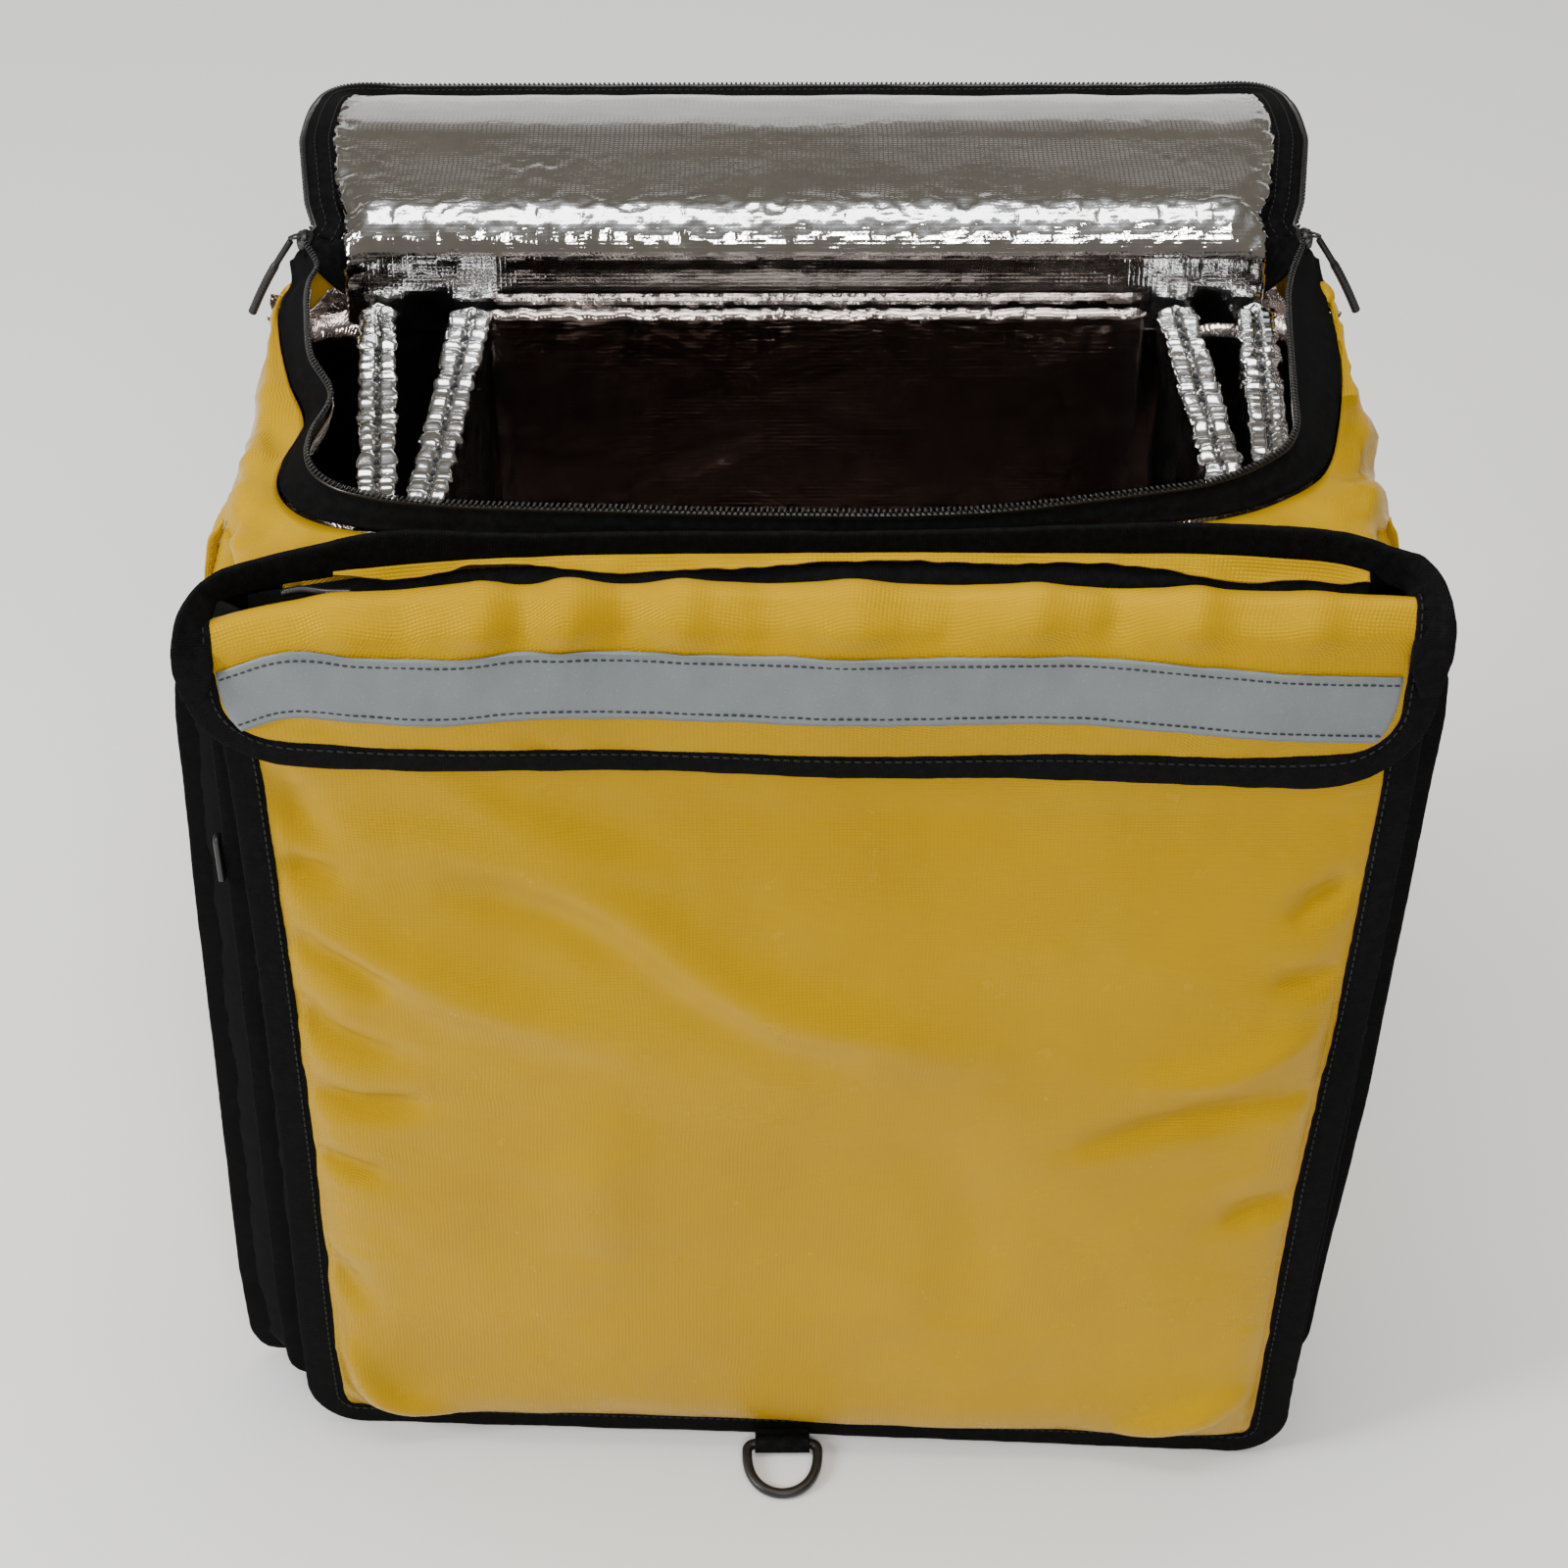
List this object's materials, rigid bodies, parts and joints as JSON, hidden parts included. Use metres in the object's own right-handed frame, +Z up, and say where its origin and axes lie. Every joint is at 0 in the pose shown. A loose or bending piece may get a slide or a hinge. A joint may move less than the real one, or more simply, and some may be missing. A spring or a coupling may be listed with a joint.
{
  "type": "insulated delivery backpack",
  "caption": "Box-shaped insulated delivery backpack, zip lid open, foil lining and boards, pleated front pocket with a flap and reflective tape, D-ring at the foot.",
  "frame": {"origin": "centre of the main body's flat underside, on the floor", "axes": "+Z up, -Y towards the front pocket, +X to the right seen from the front"},
  "size_m": [0.5427, 0.4657, 0.5529],
  "materials": {
    "shell_cloth": "glossy coated cloth with a fine woven scrim",
    "foil": "crinkled aluminised foil over foam",
    "black_tape": "matt woven polyester tape",
    "black_cloth": "matt woven nylon",
    "zip_teeth": "satin moulded coil",
    "reflective_tape": "grey glass-bead reflective tape",
    "black_plastic": "satin moulded plastic",
    "strap_cloth": "padded black nylon"
  },
  "bodies": {
    "bag": {"main_shell": "shell_cloth", "inner_liner": "foil", "rim_band": "black_tape", "rim_zip": "zip_teeth", "lid_shell": "shell_cloth", "lid_liner": "foil", "lid_band": "black_tape", "lid_zip": "zip_teeth", "back_board": "foil", "side_board_left": "foil", "divider_left": "foil", "divider_right": "foil", "side_board_right": "foil", "pocket_panel": "shell_cloth", "pocket_binding": "black_tape", "pocket_gusset": "black_cloth", "gusset_mid_binding": "black_tape", "gusset_rear_binding": "black_tape", "flap": "shell_cloth", "flap_binding": "black_tape", "flap_reflective_band": "reflective_tape", "root_binding": "black_tape", "root_strip": "shell_cloth", "pocket_zip_strip": "black_cloth", "ring_loop": "black_tape", "zip_slider_left": "black_plastic", "zip_slider_right": "black_plastic", "slider_puller_left": "black_plastic", "slider_puller_right": "black_plastic", "gusset_zip_pull": "black_plastic", "pocket_zip_puller": "black_plastic", "shoulder_strap_left": "strap_cloth", "shoulder_strap_right": "strap_cloth", "strap_webbing_left": "black_tape", "strap_webbing_right": "black_tape", "strap_buckle_left": "black_plastic", "strap_buckle_right": "black_plastic"},
    "ring": {"d_ring": "black_plastic"}
  },
  "joints": [
    {"name": "ring_swing", "type": "hinge", "parent": "bag", "child": "ring", "pos_m": [-0.011, -0.15944, 0.005], "axis": [1, 0, 0], "range_deg": [-80, 85]}
  ]
}
